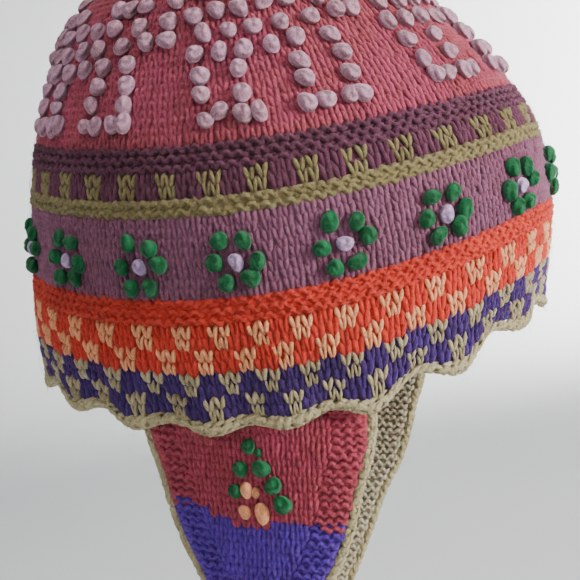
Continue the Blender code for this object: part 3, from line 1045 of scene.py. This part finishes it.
class HAT_OT_ridges(Operator):
    """Knit the purl ridges between the bands."""

    bl_idname = "hat.ridges"
    bl_label = "Purl ridges"

    def execute(self, context):
        knit = context.scene.hat_knit
        purl = cap_place(knit.stitch_depth - 0.2 * MM, RIDGE_TALL)
        ridges = (
            ("orange_ridge", "orange", ORANGE_CHECK_TOP, ORANGE_RIDGE_TOP, 3, knit.check_round),
            ("olive_ridge", "olive", FLOWER_BAND_TOP, OLIVE_RIDGE_TOP, 2, knit.tooth_round),
            ("plum_ridge", "plum", PLUM_TEETH_TOP, PLUM_RIDGE_TOP, 3, knit.tooth_round),
        )
        for seed, (name, yarn, bottom, top, rows, stitches) in enumerate(ridges, 6):
            cells = cap_rows(bottom, top, rows, stitches)
            cells["left"] = cells["left"] + cells["row"] * 0.5 / stitches
            lay(name + "_purls", purl_stitch(), uneven(cells, seed), purl, yarn, seed)
        return {"FINISHED"}


class HAT_OT_crown(Operator):
    """Knit the crown, whose rounds lose stitches towards the top."""

    bl_idname = "hat.crown"
    bl_label = "Crown stitches"

    def execute(self, context):
        knit = context.scene.hat_knit
        heights, rises = crown_rise()
        rows = round(rises[-1] / knit.crown_row)
        levels = np.interp(np.linspace(0.0, rises[-1], rows + 1), rises, heights)
        eighth = knit.tooth_round // 8
        tables = []
        for row in range(rows):
            around = girth((levels[row] + levels[row + 1]) / 2)
            stitches = eighth * min(8, max(1, round(around / (CROWN_STITCH * eighth))))
            if around <= CROWN_TOP_ROUND:
                stitches = max(CROWN_TOP_FEWEST, round(around / CROWN_TOP_STITCH))
            tables.append(cap_rows(levels[row], levels[row + 1], 1, stitches, TOOTH_PHASE))
        parting = rows // 2 - 2
        plain = cap_place(knit.stitch_depth, STITCH_TALL)
        for name, part, seed in (("crown_lower_stitches", tables[:parting], 9),
                                 ("crown_upper_stitches", tables[parting:], 10)):
            lay(name, knit_stitch(), uneven(stack(part), seed), plain, "rose", seed)
        return {"FINISHED"}


def knot_shape(local, cell):
    """A knot's points in metres: along, up and out, uneven and narrower at its foot."""
    x = local[:, 0] * np.cos(cell["wander"]) - local[:, 1] * np.sin(cell["wander"])
    y = local[:, 0] * np.sin(cell["wander"]) + local[:, 1] * np.cos(cell["wander"])
    z = local[:, 2]
    lumps = 1.0 + 0.06 * np.sin(2.0 * np.arctan2(y, x) + 3.0 * cell["wander"])
    along = x * cell["wide"] * lumps * (1.0 + cell["taper"] * y)
    up = y * cell["high"] * lumps
    cosine, sine = np.cos(cell["lean"]), np.sin(cell["lean"])
    out = z * cell["proud"] * lumps + 0.45 * cell["proud"]
    return along * cosine - up * sine, along * sine + up * cosine, out


def cap_knot(local, cell):
    """Where a knot's points are on the cap."""
    along, up, out = knot_shape(local, cell)
    wide, tall = cap_stretch(cell["at"], cell["height"])
    return on_cap(cell["at"] + along / wide, cell["height"] + up / tall, -out)


def tie(name, places, form, place, yarn, seed, ply=1.2):
    """Tie knots of a form at (share or across, height or down, size) places, as one piece."""
    draws = np.random.default_rng(SEED + seed).normal(size=(5, len(places)))
    at, height, size = np.array(places, float).T
    wide, high, proud, taper = form
    cells = {
        "at": at,
        "height": height,
        "wide": wide * MM * size * (1.0 + 0.07 * draws[0]),
        "high": high * MM * size * (1.0 + 0.08 * draws[1]),
        "proud": proud * MM * size * (1.0 + 0.06 * draws[2]),
        "taper": taper + 0.05 * draws[3],
        "lean": 0.22 * draws[4],
        "wander": 9.0 * draws[0] + 5.0 * draws[3],
    }
    lay(name, knot(), cells, place, yarn, seed, ply=ply)


class HAT_OT_figures(Operator):
    """Tie the pale knots of the llamas that walk round the crown."""

    bl_idname = "hat.figures"
    bl_label = "Llama knots"

    def execute(self, context):
        draws = np.random.default_rng(SEED + 30)
        places = []
        for start in FIGURE_STARTS:
            for row, knots in enumerate(FIGURE_ROWS):
                for stitch in knots:
                    shift, rise = draws.normal(size=2)
                    places.append(((start + stitch + 0.12 * shift) / FIGURE_ROUND,
                                   FIGURE_FOOT + row * FIGURE_RISE + 0.0004 * rise, 1.0))
        tie("llama_knots", places, PALE_KNOT, cap_knot, "pale", 31, 1.4)
        return {"FINISHED"}


class HAT_OT_flowers(Operator):
    """Tie the green and lilac knots of the flowers."""

    bl_idname = "hat.flowers"
    bl_label = "Flower knots"

    def execute(self, context):
        round_length = girth(FLOWER_MIDDLE)
        greens, middles = [], []
        for flower in range(FLOWER_COUNT):
            at = FLOWER_FIRST + flower / FLOWER_COUNT
            middles.append((at, FLOWER_MIDDLE, 1.0))
            for along, up in FLOWERS[flower % 2]:
                greens.append((at + along * MM / round_length, FLOWER_MIDDLE + up * MM, 1.0))
        tie("flower_green_knots", greens, GREEN_KNOT, cap_knot, "green", 32)
        tie("flower_lilac_knots", middles, LILAC_KNOT, cap_knot, "lilac", 33)
        return {"FINISHED"}


def chain_cells(length, link, angles):
    """Cells of crochet links along an edge, one chain for each angle round it in degrees."""
    count = max(3, round(length / link))
    cells = stack([{
        "along": (np.arange(count) + 0.37 * index) * length / count,
        "pitch": np.full(count, length / count),
        "phase": np.full(count, math.radians(angle)),
    } for index, angle in enumerate(angles)])
    draws = np.random.default_rng(SEED + count).normal(size=(3, len(cells["along"])))
    cells["along"] = cells["along"] + 0.12 * link * draws[0]
    cells["phase"] = cells["phase"] + 0.22 * draws[1]
    cells["loose"] = 1.0 + 0.16 * draws[2]
    return cells


def chain_shape(local, cell, radius, size):
    """A link's points: metres along the edge, angle round it and distance from its middle."""
    across = (STITCH_WIDE / 2 - local[:, 0]) * MM * size * cell["loose"]
    along = cell["along"] + cell["pitch"] * local[:, 1] / STITCH_TALL
    return along, cell["phase"] + across / radius, radius + local[:, 2] * MM * size


class HAT_OT_rim(Operator):
    """Crochet the beige edge along the rim, over a core of plain cord."""

    bl_idname = "hat.rim"
    bl_label = "Rim crochet"

    def execute(self, context):
        knit = context.scene.hat_knit
        length = girth(0.0)

        def place(local, cell):
            along, phase, away = chain_shape(local, cell, RIM_CORD, RIM_LINK_SIZE)
            return on_cap(along / length, RIM_CORD_HEIGHT + away * np.sin(phase),
                          RIM_CORD_DEPTH - away * np.cos(phase))

        cells = chain_cells(length, knit.link, (35.0, -45.0, -135.0))
        lay("rim_crochet", open_stitch(), cells, place, "edging", 40)
        core = 0.8 * RIM_CORD
        ring = [(RIM_CORD_HEIGHT + core * math.sin(turn), RIM_CORD_DEPTH - core * math.cos(turn))
                for turn in np.linspace(0.0, math.tau, 9)[:-1]]
        # The core is purl cloth, whose painted shade makes the gaps between the links look dark
        cap_wall("rim_core", "rim_edging", ring, True, "edging")
        return {"FINISHED"}


def flap_cells(knit, margin):
    """Cells of the flap's rows, each with its place across and down and its edge distance."""
    tables = []
    for row in range(int((FLAP_LENGTH - FLAP_ROWS_START) / knit.flap_row)):
        down = FLAP_ROWS_START + (row + 1) * knit.flap_row
        half = float(flap_half_width(np.array(max(down - knit.flap_row / 2, 0.0)))) - margin
        stitches = int(2 * half / knit.flap_stitch)
        if stitches < 1:
            continue
        left = -stitches / 2 * knit.flap_stitch
        number = np.arange(stitches)
        tables.append({
            "left": left + number * knit.flap_stitch,
            "share": np.full(stitches, knit.flap_stitch),
            "low": np.full(stitches, down),
            "tall": np.full(stitches, knit.flap_row),
            "edge": np.minimum(number, stitches - 1 - number),
            "row": np.full(stitches, row),
        })
    return stack(tables)


def flap_place(side, depth, tall, inside=False):
    """How a stitch template goes on a flap's face, or on its inside."""
    turned = -side if inside else side
    facing = -1.0 if inside else 1.0

    def place(local, cell):
        middle = cell["left"] + cell["share"] * local[:, 0] / STITCH_WIDE
        down = cell["low"] - cell["tall"] * local[:, 1] / tall
        return on_flap(side, turned * middle, down,
                       depth - facing * (cell["lift"] + local[:, 2] * MM))
    return place


class HAT_OT_flaps(Operator):
    """Knit the stitches of the flaps: plain rose, purl at the edges, and violet tips."""

    bl_idname = "hat.flaps"
    bl_label = "Flap stitches"

    def execute(self, context):
        knit = context.scene.hat_knit
        for suffix, side in SIDES:
            cells = uneven(flap_cells(knit, 0.0006), 12 if side < 0 else 13, 0.06)
            middle = cells["left"] + cells["share"] / 2
            down = cells["low"] - cells["tall"] / 2
            rose = down < np.interp(middle, *(FLAP_CHANGE * MM).T)
            border = cells["edge"] < FLAP_BORDER
            plain = flap_place(side, FLAP_STITCH_DEPTH, STITCH_TALL)
            purl = flap_place(side, FLAP_STITCH_DEPTH, RIDGE_TALL)
            for yarn, chosen, seeds in (("flap_rose", rose, (14, 15)),
                                        ("flap_violet", ~rose, (16, 18))):
                lay(f"{yarn}_{suffix}_stitches", knit_stitch(), only(cells, chosen & ~border),
                    plain, yarn, seeds[0])
                lay(f"{yarn}_{suffix}_purls", purl_stitch(), only(cells, chosen & border),
                    purl, yarn, seeds[1])
            inner = FLAP_WALL + GAP + FLAP_LINING_WALL - FLAP_LINING_DEPTH
            lining = flap_place(side, inner, RIDGE_TALL, inside=True)
            lay(f"flap_lining_{suffix}_purls", purl_stitch(),
                uneven(flap_cells(knit, 0.0004), 17, 0.06), lining, "lining", 17)
        return {"FINISHED"}


class HAT_OT_flap_edges(Operator):
    """Crochet the beige edge round each flap."""

    bl_idname = "hat.flap_edges"
    bl_label = "Flap crochet"

    def execute(self, context):
        knit = context.scene.hat_knit
        reach = np.linspace(-1.0, 1.0, 401)
        share = np.where(reach < 0.0, 1.0, -1.0)
        slide = np.sin((1.0 - np.abs(reach)) * math.pi / 2)
        top = flap_top(share)
        down = top + (FLAP_LENGTH - top) * slide
        across = share * flap_half_width(down)
        far = run(np.hypot(np.diff(across), np.diff(down)))
        ahead = np.stack((np.gradient(across, far), np.gradient(down, far)))
        ahead /= np.linalg.norm(ahead, axis=0)
        depth = (FLAP_WALL + GAP + FLAP_LINING_WALL) / 2

        for suffix, side in SIDES:
            def edge_point(along, beside, out):
                centre = np.array([np.interp(along, far, line) for line in (across, down)])
                way = np.array([np.interp(along, far, line) for line in ahead])
                beside = FLAP_CORD_OFFSET + beside
                return on_flap(side, centre[0] + way[1] * beside, centre[1] - way[0] * beside,
                               depth - out)

            def place(local, cell):
                along, phase, away = chain_shape(local, cell, FLAP_CORD, FLAP_LINK_SIZE)
                return edge_point(along, away * np.sin(phase), away * np.cos(phase))

            cells = chain_cells(far[-1] - FLAP_CORD_REST, knit.link, (20.0, 110.0, 200.0, -70.0))
            lay(f"flap_edging_{suffix}_crochet", open_stitch(), cells, place, "edging",
                41 if side < 0 else 42)

            def core_place(local, cell):
                away, phase = FLAP_CORD * 0.85, np.arctan2(local[:, 2], local[:, 1])
                return edge_point(local[:, 0] * far[-1], away * np.sin(phase),
                                  away * np.cos(phase))

            line = [(step / FLAP_CORD_STEPS, 0.0, 0.0) for step in range(FLAP_CORD_STEPS + 1)]
            core = add_yarn(new_template(), line, (1.0,) * len(line), 8)
            lay(f"flap_edging_{suffix}_core", core, {"along": [0.0]}, core_place, "edging",
                43, replaces=("flap_edging_" + suffix,))
        return {"FINISHED"}


class HAT_OT_flap_knots(Operator):
    """Tie the green and peach knots of the flaps' flower."""

    bl_idname = "hat.flap_knots"
    bl_label = "Flap knots"

    def execute(self, context):
        for suffix, side in SIDES:
            def place(local, cell):
                along, up, out = knot_shape(local, cell)
                return on_flap(side, cell["at"] + side * along, cell["height"] - up, -out)

            groups = (("green", FLAP_GREENS, FLAP_GREEN_KNOT, 34),
                      ("peach", FLAP_PEACHES, FLAP_PEACH_KNOT, 35))
            for yarn, knots, form, seed in groups:
                places = [(across * MM, down * MM, half / FLAP_KNOT_HALF_WIDTH)
                          for across, down, half in knots]
                tie(f"flap_{yarn}_{suffix}_knots", places, form, place, yarn, seed)
        return {"FINISHED"}


def fibre_place(surface):
    """How a fibre curls away from a surface that takes (along, up, out)."""
    def place(local, cell):
        far, y, z = local.T
        length, curl = cell["length"], cell["curl"]
        ahead = length * far
        aside = length * curl * far * far + y * cell["thick"]
        cosine, sine = np.cos(cell["way"]), np.sin(cell["way"])
        out = 0.0002 + length * cell["rise"] * np.sin(far * 2.2) + z * cell["thick"]
        return surface(cell, ahead * cosine - aside * sine, ahead * sine + aside * cosine, out)
    return place


def fibre_cells(count, length, seed):
    """Cells of loose fibres with their own ways to curl."""
    draws = np.random.default_rng(SEED + seed)
    return {
        "way": draws.random(count) * math.tau,
        "length": length * (0.5 + 1.1 * draws.random(count)),
        "curl": draws.normal(size=count) * 0.6,
        "rise": 0.10 + 0.34 * draws.random(count) ** 2,
        "thick": np.full(count, 0.035 * MM),
        # Painted sheen: fibres get tones above any stitch's, so they are painted lighter than
        # their yarn, as fuzz that catches the light
        "tone": 1.0 + 2.0 * draws.random(count),
        "at": draws.random(count),
        "up": draws.random(count),
    }


class HAT_OT_fibres(Operator):
    """Let loose fibres stand off the wool."""

    bl_idname = "hat.fibres"
    bl_label = "Loose fibres"

    def execute(self, context):
        knit = context.scene.hat_knit

        def cap_fibre(cell, along, up, out):
            wide, tall = cap_stretch(cell["at"], cell["height"])
            height = np.clip(cell["height"] + up / tall, -0.002, CAP_HEIGHT - 0.002)
            return on_cap(cell["at"] + along / wide, height, -out)

        zones = (
            ("rim", "edging", -0.001, 0.004, 600),
            ("violet_check", "violet", 0.004, VIOLET_CHECK_TOP, 900),
            ("orange_check", "orange", VIOLET_CHECK_TOP, ORANGE_RIDGE_TOP, 1300),
            ("flower", "mauve", ORANGE_RIDGE_TOP, FLOWER_BAND_TOP, 1400),
            ("olive", "olive", FLOWER_BAND_TOP, OLIVE_RIDGE_TOP, 250),
            ("plum", "plum", OLIVE_RIDGE_TOP, PLUM_RIDGE_TOP, 1000),
            ("crown", "rose", PLUM_RIDGE_TOP, CAP_HEIGHT - 0.006, 2700),
        )
        for seed, (name, yarn, bottom, top, count) in enumerate(zones, 50):
            cells = fibre_cells(count, knit.fibre, seed)
            cells["height"] = bottom + (top - bottom) * cells["up"]
            lay(name + "_fibres", fibre(), cells, fibre_place(cap_fibre), yarn, seed, ply=0.0)

        for suffix, side in SIDES:
            def flap_fibre(cell, along, up, out):
                return on_flap(side, cell["across"] + along, cell["down"] - up, -out)

            cells = fibre_cells(900, knit.fibre, 60)
            cells["down"] = FLAP_LENGTH * 0.97 * cells["up"]
            cells["across"] = (2.0 * cells["at"] - 1.0) * flap_half_width(cells["down"])
            rose = cells["down"] < FLAP_ROSE_LENGTH
            for yarn, chosen in (("flap_rose", rose), ("flap_violet", ~rose)):
                lay(f"{yarn}_{suffix}_fibres", fibre(), only(cells, chosen),
                    fibre_place(flap_fibre), yarn, 61, ply=0.0)
        return {"FINISHED"}


# Walls that are listed as cloth, how each is held, and the starts of its pieces' names
CLOTHS = (
    ("crown_wall", "stretched", ("crown_", "llama_")),
    ("plum_band_wall", "stretched", ("plum_", "olive_")),
    ("flower_band_wall", "stretched", ("flower_",)),
    ("orange_check_band_wall", "stretched", ("orange_",)),
    ("violet_check_band_wall", "stretched", ("violet_", "rim_")),
)
FLAP_CLOTHS = (
    ("flap_rose_", ("flap_rose_", "flap_green_", "flap_peach_", "flap_edging_")),
    ("flap_violet_", ("flap_violet_",)),
    ("flap_lining_", ("flap_lining_",)),
)


class HAT_OT_cloth(Operator):
    """List which walls are cloth and which pieces are part of each; the list is not passed on."""

    bl_idname = "hat.cloth"
    bl_label = "Declare the cloth"

    def execute(self, context):
        cloths = [(*cloth, (), "") for cloth in CLOTHS]
        for suffix, _ in SIDES:
            cloths += [(name + suffix + "_wall", "hung", starts, ("rim_core",), suffix)
                       for name, starts in FLAP_CLOTHS]
        return {"FINISHED"}


# The camera: place, turn in degrees, focal length and shift
CAMERA_PLACE = (-0.4966, -0.1185, -0.0976)
CAMERA_TURN = (86.7215, 11.5804, -76.6208)
CAMERA_LENS = 81.503
CAMERA_SHIFT = (0.0016, -0.0500)
FLOOR_DROP = 0.11

# Area lights: name, place, what they face, size, spread in degrees, watts and colour
LIGHTS = (
    ("key", (-0.40, -1.45, 0.14), (0, 0, -0.12), 0.6, 120, 21.0, (1.0, 0.985, 0.965)),
    ("flap", (-0.22, -1.05, -0.50), (-0.07, 0.0, -0.22), 0.12, 13, 10.0, (1.0, 0.985, 0.965)),
    ("fill", (-1.2, 0.5, 0.4), (0, 0.03, -0.04), 1.0, 90, 0.95, (0.95, 0.97, 1.0)),
    ("top", (-0.35, -0.25, 1.25), (0, 0, 0), 0.9, 90, 4.0, (1.0, 1.0, 1.0)),
    ("wall", (1.10, -1.20, 0.50), (2.25, -0.60, -0.35), 0.6, 110, 94.0, (1.0, 1.0, 1.0)),
)


class HAT_OT_stage(Operator):
    """Set the pale round studio, its lights and the camera."""

    bl_idname = "hat.stage"
    bl_label = "Studio"

    def execute(self, context):
        scene = context.scene
        floor = min(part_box("flap_edging_" + suffix)[0][2] for suffix, _ in SIDES) - FLOOR_DROP
        bend, reach, rise = 0.7, 2.3, 2.2
        turns = np.linspace(0.0, math.pi / 2, 13)
        line = [(0.0, floor)]
        line += [(reach - bend + bend * math.sin(t), floor + bend - bend * math.cos(t))
                 for t in turns]
        line.append((reach, floor + rise))
        mesh = turned(line, False, 96)
        bmesh.ops.remove_doubles(mesh, verts=mesh.verts, dist=0.0001)
        data = as_data(mesh, "studio_floor")
        data.shade_smooth()
        material = bpy.data.materials.new("pale_paper")
        material.use_nodes = True
        nodes, links = material.node_tree.nodes, material.node_tree.links
        shader = nodes["Principled BSDF"]
        ramp = nodes.new("ShaderNodeValToRGB")
        ramp.color_ramp.elements[0].color = (0.72, 0.73, 0.735, 1.0)
        ramp.color_ramp.elements[1].color = (0.78, 0.79, 0.795, 1.0)
        grain = nodes.new("ShaderNodeTexNoise")
        grain.inputs["Scale"].default_value = 3.0
        place = nodes.new("ShaderNodeTexCoord")
        links.new(place.outputs["Object"], grain.inputs["Vector"])
        links.new(grain.outputs["Fac"], ramp.inputs["Fac"])
        links.new(ramp.outputs["Color"], shader.inputs["Base Color"])
        shader.inputs["Roughness"].default_value = 0.95
        shader.inputs["Specular IOR Level"].default_value = 0.1
        data.materials.append(material)
        stage = bpy.data.objects.new("studio_floor", data)
        scene.collection.objects.link(stage)

        world = bpy.data.worlds.new("studio")
        world.use_nodes = True
        world.node_tree.nodes["Background"].inputs["Color"].default_value = (0.8, 0.82, 0.85, 1)
        world.node_tree.nodes["Background"].inputs["Strength"].default_value = 0.08
        scene.world = world
        for name, place, target, size, spread, watts, colour in LIGHTS:
            lamp = bpy.data.lights.new(name, "AREA")
            lamp.shape, lamp.size, lamp.spread = "DISK", size, math.radians(spread)
            lamp.energy, lamp.color = watts, colour
            light = bpy.data.objects.new(name, lamp)
            light.location = place
            aim = np.array(target) - np.array(place)
            yaw = math.atan2(aim[1], aim[0]) - math.pi / 2
            pitch = math.atan2(math.hypot(aim[0], aim[1]), -aim[2])
            light.rotation_euler = (pitch, 0.0, yaw)
            scene.collection.objects.link(light)

        lens = bpy.data.cameras.new("photo_view")
        lens.lens, lens.sensor_width = CAMERA_LENS, 36.0
        lens.shift_x, lens.shift_y = CAMERA_SHIFT
        lens.clip_start, lens.clip_end = 0.01, 20.0
        camera = bpy.data.objects.new("photo_view", lens)
        camera.location = CAMERA_PLACE
        camera.rotation_euler = [math.radians(turn) for turn in CAMERA_TURN]
        scene.collection.objects.link(camera)
        scene.camera = camera
        return {"FINISHED"}


OPERATORS = (HAT_OT_walls, HAT_OT_bands, HAT_OT_ridges, HAT_OT_crown, HAT_OT_figures,
             HAT_OT_flowers, HAT_OT_rim, HAT_OT_flaps, HAT_OT_flap_edges, HAT_OT_flap_knots,
             HAT_OT_fibres, HAT_OT_cloth, HAT_OT_stage)


class HAT_PT_panel(Panel):
    """Sizes, yarns and steps of the hat."""

    bl_idname = "HAT_PT_panel"
    bl_label = "Ear-flap hat"
    bl_space_type = "VIEW_3D"
    bl_region_type = "UI"
    bl_category = "Hat"

    def draw(self, context):
        layout = self.layout
        for settings in (context.scene.hat_knit, context.scene.hat_yarns):
            box = layout.box()
            for name in settings.__annotations__:
                box.prop(settings, name)
        for step in OPERATORS:
            layout.operator(step.bl_idname)


CLASSES = (HatYarnSettings, HatKnitSettings, *OPERATORS, HAT_PT_panel)


def register():
    for kind in CLASSES:
        bpy.utils.register_class(kind)
    bpy.types.Scene.hat_yarns = PointerProperty(type=HatYarnSettings)
    bpy.types.Scene.hat_knit = PointerProperty(type=HatKnitSettings)


def unregister():
    del bpy.types.Scene.hat_knit
    del bpy.types.Scene.hat_yarns
    for kind in reversed(CLASSES):
        bpy.utils.unregister_class(kind)


def main():
    """Knit the whole hat round the frame."""
    register()
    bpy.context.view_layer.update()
    for step in OPERATORS:
        getattr(bpy.ops.hat, step.bl_idname.split(".")[1])()


if __name__ == "__main__":
    main()
